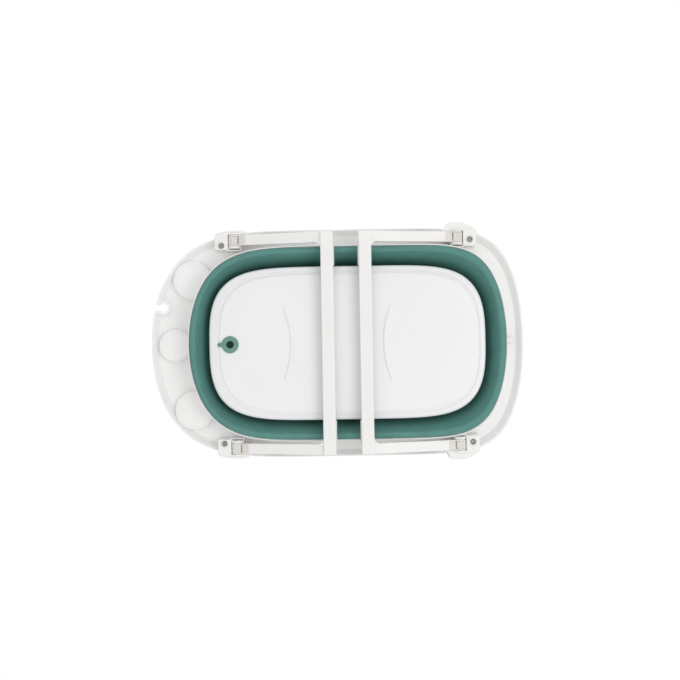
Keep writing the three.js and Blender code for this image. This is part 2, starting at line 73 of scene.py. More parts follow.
# Outlines in the plan: |x / a|^p + |y / b|^q = 1, with its own p at the left and the right end.
RIM = dict(x=0.0, a=400.0, b=244.0, p=(4.75, 7.9), q=2.1)
MOUTH = dict(x=21.8, a=336.0, b=204.0, p=(5.25, 7.3), q=2.0)
BASE = dict(x=21.2, a=293.0, b=162.8, p=(5.2, 5.5), q=3.0)
PANEL = dict(BASE, x=BASE["x"] + 3, a=BASE["a"] - 3)

RIM_LOW, RIM_HIGH = box_mm("rim")
BASE_TOP = box_mm("base_tray")[1][2]
PLUG_LOW, PLUG_HIGH = box_mm("drain_plug")

RIM_TOP = RIM_HIGH[2]
RIM_UNDER = RIM_TOP - 3
SKIRT_FOOT = RIM_TOP - 18
SKIRT_SLOPE = 12
MOUTH_FOOT = RIM_LOW[2]
BASE_FOOT = 34.0
PANEL_FOOT = 32.5
BASE_FLOOR = BASE_FOOT + 3

HINGES = {j["child"]: j["pos_m"] for j in frame["joints"] if j["type"] == "hinge"}
HINGE_Z = HINGES["left_leg"][2] / MM
REACH = 211.5                 # from the hinge's axis to the crossbar's far side, along X
BAR_WIDTH = 26.5
BAR_HEIGHT = 22.0
ARM_THICK = 18.0
ARM_IN, ARM_OUT = 211.5, 234.5    # distances from the centre plane
KNUCKLE_R = 13.0
PIN_R = 3.0

BRACKET_TOP = box_mm("hinge_bracket_left_rear")[1][2]
PLATE_FOOT = BRACKET_TOP - 6
CHEEK_IN = 206.0
CHEEK_OUT = ARM_OUT + 5
CHEEK_R = 14.0
LEDGE_IN = 200.5
BOSS_R = 9.5
BOSS_OUT = 28.0

LEGS = [
    dict(name="left", x=HINGES["left_leg"][0] / MM, out=-1, bump=244.0, boss=212.0),
    dict(name="right", x=HINGES["right_leg"][0] / MM, out=1, bump=253.5, boss=217.0),
]
CORNERS = [
    dict(leg, leg=leg["name"], name=f"{leg['name']}_{where}", side=side)
    for leg in LEGS
    for where, side in (("front", -1), ("rear", 1))
]


# ---------- mesh helpers ----------
WELD = 0.003 * MM
SMALLEST_ISLAND = 6           # loose groups with fewer faces than this are slivers


def link(name, mesh):
    piece = bpy.data.objects.new(name, mesh)
    bpy.context.scene.collection.objects.link(piece)
    return piece


def new_piece(name, points, faces):
    """A mesh object from points in millimetres, with its faces turned outwards."""
    mesh = bpy.data.meshes.new(name)
    mesh.from_pydata((np.asarray(points, float) * MM).tolist(), [], faces)
    outwards(mesh)
    return link(name, mesh)


def outwards(mesh):
    bm = bmesh.new()
    bm.from_mesh(mesh)
    bmesh.ops.recalc_face_normals(bm, faces=bm.faces)
    if bm.calc_volume(signed=True) < 0:
        bmesh.ops.reverse_faces(bm, faces=bm.faces)
    bm.to_mesh(mesh)
    bm.free()


def quadrant(a, b, p, q):
    """Evenly spaced points from (a, 0) to (0, b), the last one left out."""
    u = np.linspace(0, 1, 1200)
    along_x = np.column_stack([a * u, b * (1 - u**p) ** (1 / q)])
    along_y = np.column_stack([a * (1 - u**q) ** (1 / p), b * u])
    both = np.vstack([along_x, along_y])
    both = both[np.argsort(np.arctan2(both[:, 1] / b, both[:, 0] / a))]
    length = np.concatenate([[0], np.cumsum(np.hypot(*np.diff(both, axis=0).T))])
    wanted = np.linspace(0, length[-1], STATIONS // 4, endpoint=False)
    return np.column_stack([np.interp(wanted, length, both[:, i]) for i in (0, 1)])


def outline(shape, grow=0.0):
    """The points of an outline, counter-clockwise from its +X end, made larger by grow."""
    a, b, q = shape["a"] + grow, shape["b"] + grow, shape["q"]
    left, right = (quadrant(a, b, p, q) for p in shape["p"])
    tip = np.array([[0, b]])
    back_left = np.vstack([tip, left[:0:-1]])
    back_right = np.vstack([tip, right[:0:-1]])
    points = np.vstack([right, back_left * (-1, 1), left * (-1, -1), back_right * (1, -1)])
    return points + (shape["x"], 0)


def ring(shape, grow, z):
    plan = outline(shape, grow)
    return np.column_stack([plan, np.full(len(plan), z)])


def between(a, b, share):
    return a * (1 - share) + b * share


def arc(centre, radius, start, end, steps):
    """Points of an arc in a plane, from start to end in degrees."""
    turn = np.radians(np.linspace(start, end, steps + 1))
    return np.column_stack([centre[0] + radius * np.cos(turn), centre[1] + radius * np.sin(turn)])


def loft(name, rings, closed=False):
    """Rings of equally many points joined into a closed body: capped, or closed on themselves."""
    count = len(rings[0])
    rows = len(rings)
    faces = []
    for r in range(rows if closed else rows - 1):
        low, high = r * count, (r + 1) % rows * count
        for i in range(count):
            j = (i + 1) % count
            faces.append((low + i, low + j, high + j, high + i))
    if not closed:
        faces.append(tuple(range(count - 1, -1, -1)))
        faces.append(tuple(range((rows - 1) * count, rows * count)))
    return new_piece(name, np.vstack(rings), faces)


def lathe(name, profile, centre, sides=64):
    """A body turned about a vertical axis: profile is (radius, z), from the axis back to it."""
    turn = np.linspace(0, 2 * math.pi, sides, endpoint=False)
    c, s = np.cos(turn), np.sin(turn)
    rings = []
    for radius, z in profile:
        rings.append(np.column_stack([
            centre[0] + max(radius, 0.01) * c,
            centre[1] + max(radius, 0.01) * s,
            np.full(sides, z),
        ]))
    return loft(name, rings)


def round_post(name, centre, radius, z0, z1, edge=0.6, sides=64):
    """A vertical round bar with rounded ends."""
    low = arc((radius - edge, z0 + edge), edge, -90, 0, 3)
    high = arc((radius - edge, z1 - edge), edge, 0, 90, 3)
    return lathe(name, [*low, *high], centre, sides)


def turned_along_y(piece, x, z):
    """Lays a body made upright at the origin along Y, with its axis at x and z."""
    lay = Matrix.Rotation(-math.pi / 2, 4, "X")
    piece.data.transform(Matrix.Translation((x * MM, 0, z * MM)) @ lay)
    return piece


def rounded(name, points, z0, z1, edge, corner=0.0, segments=3):
    """A plan outline given its thickness; corner rounds its upright edges, edge the sharp ones."""
    bm = bmesh.new()
    floor = [bm.verts.new((x * MM, y * MM, z0 * MM)) for x, y in points]
    face = bm.faces.new(floor)
    lifted = bmesh.ops.extrude_face_region(bm, geom=[face])["geom"]
    raised = [v for v in lifted if isinstance(v, bmesh.types.BMVert)]
    bmesh.ops.translate(bm, verts=raised, vec=(0, 0, (z1 - z0) * MM))
    bmesh.ops.recalc_face_normals(bm, faces=bm.faces)
    bevel = dict(profile=0.5, affect="EDGES", clamp_overlap=True)
    if corner:
        upright = [e for e in bm.edges if abs(e.verts[0].co.z - e.verts[1].co.z) > MM / 10]
        bmesh.ops.bevel(bm, geom=upright, offset=corner * MM, segments=6, **bevel)
    if edge:
        sharp = [e for e in bm.edges if e.calc_face_angle(0) > math.radians(35)]
        bmesh.ops.bevel(bm, geom=sharp, offset=edge * MM, segments=segments, **bevel)
    mesh = bpy.data.meshes.new(name)
    bm.to_mesh(mesh)
    bm.free()
    outwards(mesh)
    return link(name, mesh)


def block(name, x0, x1, y0, y1, z0, z1, edge=0.5, segments=2):
    x0, x1 = sorted((x0, x1))
    y0, y1 = sorted((y0, y1))
    return rounded(name, [(x0, y0), (x1, y0), (x1, y1), (x0, y1)], z0, z1, edge, segments=segments)


def side_profile(name, points, y0, y1, edge):
    """A profile in the XZ plane, given its width from y0 to y1."""
    y0, y1 = sorted((y0, y1))
    piece = rounded(name, points, -y1, -y0, edge)
    piece.data.transform(Matrix.Rotation(math.pi / 2, 4, "X"))
    return piece


def joined(piece, tool, operation):
    """piece after a boolean with tool, which is used up."""
    modifier = piece.modifiers.new("boolean", "BOOLEAN")
    modifier.operation = operation
    modifier.solver = "EXACT"
    modifier.object = tool
    graph = bpy.context.evaluated_depsgraph_get()
    mesh = bpy.data.meshes.new_from_object(piece.evaluated_get(graph))
    piece.modifiers.clear()
    piece.data = mesh
    bpy.data.objects.remove(tool)
    return piece


def add(piece, *tools):
    for tool in tools:
        joined(piece, tool, "UNION")


def cut(piece, *tools):
    for tool in tools:
        joined(piece, tool, "DIFFERENCE")
    return piece


def tidied(mesh):
    """Welds points closer than a few microns, and drops the slivers that booleans leave behind."""
    bm = bmesh.new()
    bm.from_mesh(mesh)
    bmesh.ops.remove_doubles(bm, verts=bm.verts, dist=WELD)
    bmesh.ops.dissolve_degenerate(bm, edges=bm.edges, dist=WELD)
    stray = []
    left = set(bm.faces)
    while left:
        island, front = set(), [left.pop()]
        while front:
            face = front.pop()
            island.add(face)
            near = {f for e in face.edges for f in e.link_faces} & left
            left -= near
            front.extend(near)
        if len(island) < SMALLEST_ISLAND:
            stray.extend(island)
    bmesh.ops.delete(bm, geom=stray, context="FACES")
    bm.to_mesh(mesh)
    bm.free()


def finished(piece, material, angle=32):
    """Smooth shading with sharp creases kept, flat faces kept flat, and a material."""
    mesh = piece.data
    tidied(mesh)
    mesh.materials.clear()
    mesh.materials.append(material)
    for polygon in mesh.polygons:
        polygon.material_index = 0
    mesh.shade_smooth()
    mesh.set_sharp_from_angle(angle=math.radians(angle))
    weighted = piece.modifiers.new("flat_faces", "WEIGHTED_NORMAL")
    weighted.keep_sharp = True


def stands_for(piece, body, slot, *nodes):
    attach(piece, body)
    if nodes:
        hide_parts(*nodes)


# ---------- materials ----------
class Nodes:
    """A material's node tree, with short calls to fill it."""

    def __init__(self, name):
        self.material = bpy.data.materials.new(name)
        self.material.use_nodes = True
        self.tree = self.material.node_tree
        self.shader = self.tree.nodes["Principled BSDF"]
        self.place = self.node("ShaderNodeTexCoord").outputs["Object"]

    def node(self, kind, **settings):
        made = self.tree.nodes.new(kind)
        for key, value in settings.items():
            setattr(made, key, value)
        return made

    def join(self, out, into):
        self.tree.links.new(out, into)

    def noise(self, scale, detail=2.0, stretch=(1, 1, 1)):
        mapping = self.node("ShaderNodeMapping")
        mapping.inputs["Scale"].default_value = stretch
        self.join(self.place, mapping.inputs["Vector"])
        made = self.node("ShaderNodeTexNoise")
        made.inputs["Scale"].default_value = scale
        made.inputs["Detail"].default_value = detail
        self.join(mapping.outputs["Vector"], made.inputs["Vector"])
        return made.outputs["Fac"]

    def spread(self, value, low, high):
        """A noise value turned into a number from low to high."""
        made = self.node("ShaderNodeMapRange")
        made.inputs["From Min"].default_value = 0.3
        made.inputs["From Max"].default_value = 0.7
        made.inputs["To Min"].default_value = low
        made.inputs["To Max"].default_value = high
        self.join(value, made.inputs["Value"])
        return made.outputs["Result"]

    def mix(self, share, a, b):
        made = self.node("ShaderNodeMix", data_type="RGBA")
        self.join(share, made.inputs["Factor"])
        for name, value in ((6, a), (7, b)):
            if isinstance(value, tuple):
                made.inputs[name].default_value = (*value, 1)
            else:
                self.join(value, made.inputs[name])
        return made.outputs[2]

    def edges(self, low, high):
        """From 0 on flat faces to 1 on convex edges: the mask of a painted edge highlight."""
        made = self.node("ShaderNodeMapRange")
        made.inputs["From Min"].default_value = low
        made.inputs["From Max"].default_value = high
        self.join(self.node("ShaderNodeNewGeometry").outputs["Pointiness"], made.inputs["Value"])
        return made.outputs["Result"]

    def bump(self, *layers):
        """Adds layers of (height, distance in metres, strength) to the surface."""
        normal = None
        for height, distance, strength in layers:
            made = self.node("ShaderNodeBump")
            made.inputs["Distance"].default_value = distance
            made.inputs["Strength"].default_value = strength
            self.join(height, made.inputs["Height"])
            if normal is not None:
                self.join(normal, made.inputs["Normal"])
            normal = made.outputs["Normal"]
        self.join(normal, self.shader.inputs["Normal"])


def tinted(colour, share):
    return tuple(min(1.0, c * share) for c in colour)


def moulded_plastic(name, colour, roughness=0.42, warm=(1.0, 0.992, 0.975)):
    """Moulded polypropylene: a fine grain, faint flow clouds, and a painted highlight that makes convex
    edges a little paler.
    """
    n = Nodes(name)
    cloud = n.noise(9, 3)
    flow = n.noise(26, 2, (1, 0.35, 1))
    warmer = tuple(c * w for c, w in zip(tinted(colour, 0.985), warm))
    body = n.mix(n.spread(cloud, 0, 1), colour, warmer)
    body = n.mix(n.spread(flow, 0, 0.35), body, tinted(colour, 0.975))
    # Painted highlight: convex edges a little paler.
    body = n.mix(n.edges(0.53, 0.62), body, tinted(colour, 1.03))
    n.join(body, n.shader.inputs["Base Color"])
    satin = n.spread(n.noise(140, 3), roughness - 0.05, roughness + 0.06)
    n.join(satin, n.shader.inputs["Roughness"])
    n.shader.inputs["IOR"].default_value = 1.49
    n.shader.inputs["Specular IOR Level"].default_value = 0.42
    n.shader.inputs["Subsurface Weight"].default_value = 0.3
    n.shader.inputs["Subsurface Radius"].default_value = (1.0, 1.0, 1.0)
    n.shader.inputs["Subsurface Scale"].default_value = 0.006
    grain = n.noise(2600, 2)
    ripple = n.noise(45, 2)
    n.bump((ripple, 0.0006, 0.12), (grain, 0.00006, 0.28))
    return n.material


def soft_rubber(name, colour, roughness=0.62):
    """Thermoplastic rubber: matt, finely grained, mottled, and paler on convex edges, a painted highlight.
    """
    n = Nodes(name)
    mottle = n.spread(n.noise(38, 4), 0, 1)
    body = n.mix(mottle, tinted(colour, 0.93), tinted(colour, 1.07))
    body = n.mix(n.spread(n.noise(900, 2), 0, 0.3), body, tinted(colour, 1.2))
    # Painted highlight: convex edges paler.
    body = n.mix(n.edges(0.53, 0.66), body, tinted(colour, 1.25))
    n.join(body, n.shader.inputs["Base Color"])
    matt = n.spread(n.noise(120, 3), roughness - 0.07, roughness + 0.07)
    n.join(matt, n.shader.inputs["Roughness"])
    n.shader.inputs["Specular IOR Level"].default_value = 0.24
    n.shader.inputs["Sheen Weight"].default_value = 0.04
    n.shader.inputs["Sheen Roughness"].default_value = 0.45
    n.bump((n.noise(60, 2), 0.0008, 0.1), (n.noise(1900, 3), 0.00009, 0.45))
    return n.material


# Painted shade in the crevice by the base: the wall's sheet is darkened to this share of its colour.
CREVICE_SHADE = 0.3              # how much of its colour the rubber keeps at the base


def wall_rubber(name, colour):
    """The rubber of the folding wall, with painted shade: darker towards the base, in the deep crevice
    beside it.
    """
    material = soft_rubber(name, colour)
    tree = material.node_tree
    shader = tree.nodes["Principled BSDF"]
    coloured = shader.inputs["Base Color"].links[0].from_socket
    place = tree.nodes.new("ShaderNodeTexCoord")
    split = tree.nodes.new("ShaderNodeSeparateXYZ")
    share = tree.nodes.new("ShaderNodeMapRange")
    share.interpolation_type = "SMOOTHSTEP"
    limits = (("From Min", 0.3), ("From Max", 0.95), ("To Min", 1.0), ("To Max", CREVICE_SHADE))
    for socket, value in limits:
        share.inputs[socket].default_value = value
    # Painted shade: the colour is scaled down towards the top of the sheet, by the base.
    deep = tree.nodes.new("ShaderNodeVectorMath")
    deep.operation = "SCALE"
    tree.links.new(place.outputs["Generated"], split.inputs[0])
    tree.links.new(split.outputs["Z"], share.inputs["Value"])
    tree.links.new(coloured, deep.inputs[0])
    tree.links.new(share.outputs["Result"], deep.inputs["Scale"])
    tree.links.new(deep.outputs["Vector"], shader.inputs["Base Color"])
    return material


def plated_steel(name, colour):
    """Plated steel with fine turning marks and a few dull spots."""
    n = Nodes(name)
    body = n.mix(n.spread(n.noise(220, 3), 0, 1), colour, tinted(colour, 0.86))
    n.join(body, n.shader.inputs["Base Color"])
    n.shader.inputs["Metallic"].default_value = 1.0
    n.join(n.spread(n.noise(600, 2, (1, 1, 6)), 0.36, 0.52), n.shader.inputs["Roughness"])
    n.bump((n.noise(1500, 2, (1, 1, 8)), 0.00004, 0.3))
    return n.material


WHITE_RIM = moulded_plastic("rim_plastic", (0.893, 0.894, 0.889), 0.42, (1.0, 0.995, 0.985))
WHITE_BASE = moulded_plastic("base_plastic", (0.872, 0.872, 0.878), 0.4, (0.995, 0.995, 1.0))
WHITE_LEG = moulded_plastic("leg_plastic", (0.91, 0.9, 0.891), 0.38)
WHITE_BRACKET = moulded_plastic("bracket_plastic", (0.9, 0.897, 0.885))
# Painted shade: the catches and the arms' shoes are a warm beige, darker than the other whites, for the
# warm shade round the hinges.
CATCH_SHADE_BEIGE = moulded_plastic("catch_plastic_painted_shade", (0.8, 0.775, 0.7), 0.36)
GREEN = (0.105, 0.268, 0.236)
GREEN_WALL = soft_rubber("wall_rubber", GREEN)
# The sheet's rubber, with painted shade towards the base.
GREEN_SHEET_SHADED = wall_rubber("sheet_rubber_painted_shade", GREEN)
GREEN_PLUG = soft_rubber("plug_rubber", (0.15, 0.3, 0.245), 0.55)
# Painted shade for the inside of the plug's hollow stem.
PLUG_HOLLOW_SHADE = soft_rubber("plug_hollow_shade", (0.03, 0.075, 0.055), 0.7)
GREY_PAD = soft_rubber("pad_rubber", (0.74, 0.74, 0.71), 0.7)
STEEL = plated_steel("plated_steel", (0.46, 0.44, 0.41))


# ---------- corners ----------
def at(corner, out, across):
    """A point of the plan, given as [outboard of the hinge axis, distance from the centre plane]."""
    return corner["x"] + corner["out"] * out, corner["side"] * across


def corner_block(corner, name, out0, out1, across0, across1, z0, z1, edge=0.5):
    (xa, ya), (xb, yb) = at(corner, out0, across0), at(corner, out1, across1)
    return block(name, xa, xb, ya, yb, z0, z1, edge)


SWELL_START, SWELL_FLAT, SWELL_FALL, SWELL_END = -30, -18, 8, 41


def smooth_step(t):
    t = np.clip(t, 0, 1)
    return t * t * (3 - 2 * t)


def bump_plan(corner, inner, grow, steps=14):
    """Plan of the swelling over a hinge: steep towards the crossbar, a flat top, and a long slope."""
    bump = corner["bump"] + grow
    near, far = SWELL_START - grow, SWELL_END + grow
    low_near = ARM_OUT + 3 + grow
    low_far = max(corner["bump"] - 16, inner + 1)
    points = [at(corner, near, inner)]
    for u in np.linspace(near, SWELL_FLAT, steps):
        share = smooth_step((u - near) / (SWELL_FLAT - near))
        points.append(at(corner, u, low_near + (bump - low_near) * share))
    for u in np.linspace(SWELL_FALL, far, steps):
        share = ((u - SWELL_FALL) / (far - SWELL_FALL)) ** 1.7
        points.append(at(corner, u, bump + (low_far - bump) * share))
    points.append(at(corner, far, inner))
    return points


# ---------- rim ----------
TRAYS = [(-349, 0, 34), (-308, 140, 40), (-308, -140, 40)]              # x, y, radius, from above
BOWLS = [(-350, 0, 36), (-310.5, 141, 43), (-310.5, -139.5, 43)]        # the same from below
TRAY_FLOOR = RIM_TOP - 15
NOTCH = (-375, -82)
NOTCH_HOLE, NOTCH_COLLAR, NOTCH_HALF = 10, 17, 6
HANGER = (376, 0)
ALL_Z = (0, 2 * RIM_TOP)      # from below the part to above it


def rim_section():
    """Rings of the section: up the mouth's skirt, over the top, and back under the plate."""
    inner = 2 * GAP
    outer = inner + WALL
    mouth = [(inner, MOUTH_FOOT + 0.8), (inner, RIM_TOP - 2)]
    mouth += list(arc((inner + 2, RIM_TOP - 2), 2, 180, 90, 4)[1:])
    top = [(-SKIRT_SLOPE + WALL - 3, RIM_TOP)]
    top += list(arc((-SKIRT_SLOPE + WALL - 2.4, RIM_TOP - 2.4), 2.4, 90, 25, 4))
    top += [(-0.5, SKIRT_FOOT + 1.2)]
    top += list(arc((-0.9, SKIRT_FOOT + 0.9), 0.9, 0, -90, 3))
    top += list(arc((-WALL - 0.1, SKIRT_FOOT + 0.9), 0.9, -90, -170, 3))
    top += [(-SKIRT_SLOPE - 0.2, RIM_UNDER - 1.6)]
    top += list(arc((-SKIRT_SLOPE - 2.2, RIM_UNDER - 2), 2, 20, 90, 3))
    under = [(outer + 2, RIM_UNDER)]
    under += list(arc((outer + 2, RIM_UNDER - 2), 2, 90, 180, 3)[1:])
    under += [(outer, MOUTH_FOOT + 0.8)]
    under += list(arc((outer - 0.8, MOUTH_FOOT + 0.8), 0.8, 0, -90, 3)[1:])
    under += list(arc((inner + 0.8, MOUTH_FOOT + 0.8), 0.8, -90, -180, 3)[:-1])
    rings = [ring(MOUTH, g, z) for g, z in mouth]
    rings += [ring(RIM, g, z) for g, z in top]
    rings += [ring(MOUTH, g, z) for g, z in under]
    return rings


def behind(grow, low, high):
    """The space inside the mouth's outline, as a cutting body."""
    return loft("inside", [ring(MOUTH, grow, low), ring(MOUTH, grow, high)])


def tray_bowl(x, y, r):
    """Outside of a tray: a round bowl with a foot ring and a fillet under the plate."""
    foot = TRAY_FLOOR - WALL
    profile = [(0, foot + 0.5), (r - 7.5, foot + 0.5), (r - 6.9, foot)]
    profile += list(arc((r - 3.6, foot + 2.6), 2.6, -90, -8, 5))
    profile += list(arc((r + 2.2, RIM_UNDER - 2.2), 2.2, 175, 90, 4))
    profile += [(r + 2.2, RIM_UNDER + 1), (0, RIM_UNDER + 1)]
    return lathe("bowl", profile, (x, y), 96)


def tray_hollow(x, y, r):
    """Inside of a tray, with a rounded floor edge and a rounded brim."""
    profile = [(0, TRAY_FLOOR)]
    profile += list(arc((r - 9, TRAY_FLOOR + 3.5), 3.5, -90, -8, 5))
    profile += list(arc((r + 0.9, RIM_TOP - 2), 2, 172, 90, 4))
    profile += [(r + 0.9, RIM_TOP + 2), (0, RIM_TOP + 2)]
    return lathe("hollow", profile, (x, y), 96)


def make_rim():
    rim = loft("rim_shell", rim_section(), closed=True)
    for corner in CORNERS:
        across = (LEDGE_IN - 1, corner["bump"] + 8)
        room = corner_block(corner, "room", -31, 43, *across, SKIRT_FOOT - 2, RIM_UNDER, 0)
        lug_plan = bump_plan(corner, LEDGE_IN - 6, 1)
        lug = rounded("lug", lug_plan, RIM_UNDER + 0.03, RIM_TOP - 0.03, 0.9)
        cut(rim, cut(room, behind(3 * GAP + WALL, *ALL_Z)))
        add(rim, cut(lug, behind(2 * GAP + WALL / 2, *ALL_Z)))
    skirt_inside = [
        ring(RIM, -1.2, SKIRT_FOOT),
        ring(RIM, -SKIRT_SLOPE + WALL - 1.2, RIM_TOP - 0.4),
    ]
    for bowl in BOWLS:
        body = cut(tray_bowl(*bowl), behind(2 * GAP + 1, *ALL_Z))
        add(rim, joined(body, loft("skirt_inside", skirt_inside), "INTERSECT"))
    for tray in TRAYS:
        cut(rim, cut(tray_hollow(*tray), behind(2 * GAP + WALL, *ALL_Z)))

    low = SKIRT_FOOT + 2
    collar = round_post("collar", NOTCH, NOTCH_COLLAR, low, RIM_UNDER + 1, 1.2)
    add(rim, joined(collar, loft("skirt_inside", skirt_inside), "INTERSECT"))
    hole = lathe("hole", [
        (0, low - 10),
        (NOTCH_HOLE, low - 10),
        *arc((NOTCH_HOLE + 1.5, RIM_TOP - 1.5), 1.5, 180, 90, 3),
        (NOTCH_HOLE + 1.5, RIM_TOP + 2),
        (0, RIM_TOP + 2),
    ], NOTCH)
    notch_y = (NOTCH[1] - NOTCH_HALF, NOTCH[1] + NOTCH_HALF)
    slot = block("slot", NOTCH[0] - 40, NOTCH[0], *notch_y, low - 10, RIM_TOP + 3, 0)
    cut(rim, hole, slot)

    boss = round_post("boss", HANGER, 8.5, SKIRT_FOOT + 4, RIM_UNDER + 1, 1.4)
    rib_end = RIM["a"] - SKIRT_SLOPE + 2
    rib = block("rib", HANGER[0], rib_end, -1, 1, SKIRT_FOOT + 6, RIM_UNDER + 1, 0.3)
    eye = lathe("eye", [
        (0, SKIRT_FOOT),
        (5.4, SKIRT_FOOT),
        (5.4, SKIRT_FOOT + 4.5),
        (4.4, SKIRT_FOOT + 6.2),
        (0, SKIRT_FOOT + 6.2),
    ], HANGER)
    add(rim, boss, rib)
    cut(rim, eye)
    finished(rim, WHITE_RIM)
    stands_for(rim, "rim", "rim_white", "rim")


# ---------- base ----------
RIBS = [
    dict(apex=-95.5, radius=190.0, half=83.0, out=1),
    dict(apex=101.0, radius=215.0, half=83.0, out=-1),
]
RIB_WIDTH = 9.0
RIB_HEIGHT = 2.9
TERRACE = 14.6                # from the panel's outline in to the groove's middle
PANEL_LIFT = 1.5              # how far the floor inside is sunk over the panel
EDGE_R = 8.0                  # the round foot of the side wall
DRAIN = (PLUG_LOW[0] + 27, 0)


def arch_rib(rib, face, height):
    """A low bead bent to part of a circle, fading at both ends; height is how far it stands from face."""
    centre = rib["apex"] - rib["out"] * rib["radius"]
    reach = math.asin(rib["half"] / rib["radius"])
    rings = []
    for t in np.linspace(-1, 1, 41):
        turn = reach * t
        fade = (max(1 - t**6, 0.01)) ** 0.5
        half = RIB_WIDTH / 2 * (0.35 + 0.65 * fade)
        section = arc((0, 0), 1, 0, 180, 8)
        section = np.vstack([section, [(-1, -0.8), (1, -0.8)]])
        radius = rib["radius"] + section[:, 0] * half
        x = centre + rib["out"] * radius * math.cos(turn)
        y = radius * math.sin(turn)
        z = face + section[:, 1] * height * fade
        rings.append(np.column_stack([x, y, z]))
    return loft("rib", rings)


def make_base():
    """The stiff tray: a panel in a groove, a rounded foot, the side wall, and two bent ribs."""
    outside = [(-9, 0), (-6, 0.4), (-3.7, 1.1), (-2.0, 2.2), (-0.9, 3.8), (-0.25, 6), (0, 8.5)]
    outside = [(p, BASE_FOOT + q) for p, q in outside]
    top = list(arc((-1.0, BASE_TOP - 1.0), 1.0, 0, 90, 3))
    top += list(arc((-WALL + 1.0, BASE_TOP - 1.0), 1.0, 90, 180, 3))
    radius = EDGE_R - WALL
    inside = [(-EDGE_R + p, q) for p, q in arc((0, BASE_FLOOR + radius), radius, 0, -90, 5)]
    groove = [(-3.6, 0), (-3.0, 0.3), (-2.0, 2.6), (-1.3, 3.3), (0.8, 3.3), (1.5, 2.5), (2.5, 0.4)]
    groove += [(3.3, 0.1), (5.0, 0.6)]
    groove = [(-TERRACE + p, PANEL_FOOT + q) for p, q in groove]
    step = [(-14.5, 0), (-15.3, -0.15), (-16.4, -1.35), (-17.2, -PANEL_LIFT)]
    step = [(p, BASE_FLOOR + q) for p, q in step]
    rings = [ring(PANEL, g, z) for g, z in groove]
    rings += [ring(BASE, g, z) for g, z in [*outside, *top, *inside]]
    rings += [ring(PANEL, g, z) for g, z in step]
    base = loft("base_shell", rings)
    for rib in RIBS:
        add(base, arch_rib(rib, PANEL_FOOT, -RIB_HEIGHT))
        cut(base, arch_rib(rib, BASE_FLOOR - PANEL_LIFT, -RIB_HEIGHT * 0.7))
    hole = lathe("hole", [
        (0, PANEL_FOOT - 3),
        (12, PANEL_FOOT - 3),
        *arc((12, PANEL_FOOT + 1.5), 1.5, -90, -180, 3),
        *arc((12.6, BASE_FLOOR - 3), 2, 180, 90, 3),
        (12.6, BASE_FLOOR + 3),
        (0, BASE_FLOOR + 3),
    ], DRAIN)
    cut(base, hole)
    finished(base, WHITE_BASE)
    stands_for(base, "base", "base_white", "base_tray")


# ---------- folding wall ----------
BAND = 42.0                   # from the mouth's outline in to the base's
BEND_R = 6.0
SHEET = 2.4                   # the rubber's thickness
BEND_LOW = 31.6               # the lowest height of the bend's middle
LIP_IN = 1.5                  # the lip's middle, in from the mouth's outline
SLOPE = 60.0                  # of the straight part over the bend, in degrees


def wall_rings(middle, thick):
    """Rings of a band whose section follows middle: points of (inwards from the mouth, height)."""
    middle = np.array(middle)
    along = np.gradient(middle, axis=0)
    along /= np.linalg.norm(along, axis=1)[:, None]
    normal = np.column_stack([-along[:, 1], along[:, 0]]) * (thick / 2)
    section = np.vstack([middle + normal, (middle - normal)[::-1]])
    mouth, base = outline(MOUTH), outline(BASE)
    rings = []
    for inwards, z in section:
        plan = between(mouth, base, inwards / BAND)
        rings.append(np.column_stack([plan, np.full(len(plan), z)]))
    return rings


def make_wall():
    """The green folding wall: a lip held by the mouth's skirt, and the sheet that folds up to the base."""
    hub = (LIP_IN + BEND_R, BEND_LOW + BEND_R)
    lip = [(LIP_IN, MOUTH_FOOT + 6), (LIP_IN, MOUTH_FOOT + 4), *arc(hub, BEND_R, 180, 270, 8)]
    bead = loft("wall_lip", wall_rings(lip, SHEET), closed=True)
    finished(bead, GREEN_WALL, 50)
    stands_for(bead, "rim", "wall_green")

    # The skin of the same rubber that is moulded over the outside of the base's side wall.
    skin = [(0.08, BASE_FOOT + 6.4), (0.42, BASE_FOOT + 7.0), (0.5, BASE_TOP - 1.2)]
    skin += [(0.08, BASE_TOP - 0.6), (0.02, BASE_TOP - 0.6)]
    sleeve = loft("wall_sleeve", [ring(BASE, g, z) for g, z in skin], closed=True)
    finished(sleeve, GREEN_WALL, 50)
    stands_for(sleeve, "base", "wall_green")

    bend = arc(hub, BEND_R, 270, 270 + SLOPE, 7)
    end = BAND - SHEET / 2 - 2 * GAP
    rise = (end - bend[-1][0]) * math.tan(math.radians(SLOPE))
    corner = np.array((end, bend[-1][1] + rise))
    up = [between(bend[-1], corner, s) for s in np.linspace(0, 1, 13)[1:-1]]
    turn_start, turn_end = up[-1], corner + (0, 4)
    soft = [
        between(between(turn_start, corner, s), between(corner, turn_end, s), s)
        for s in (0.25, 0.5, 0.75)
    ]
    top = [(end, z) for z in np.linspace(corner[1] + 4, BASE_TOP - 1, 4)]
    sheet = loft("wall_sheet", wall_rings([*bend, *up, *soft, *top], SHEET), closed=True)
    # The sheet's rubber carries painted shade, darker towards the base.
    finished(sheet, GREEN_SHEET_SHADED, 50)
    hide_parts("folding_wall")
    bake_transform(sheet)


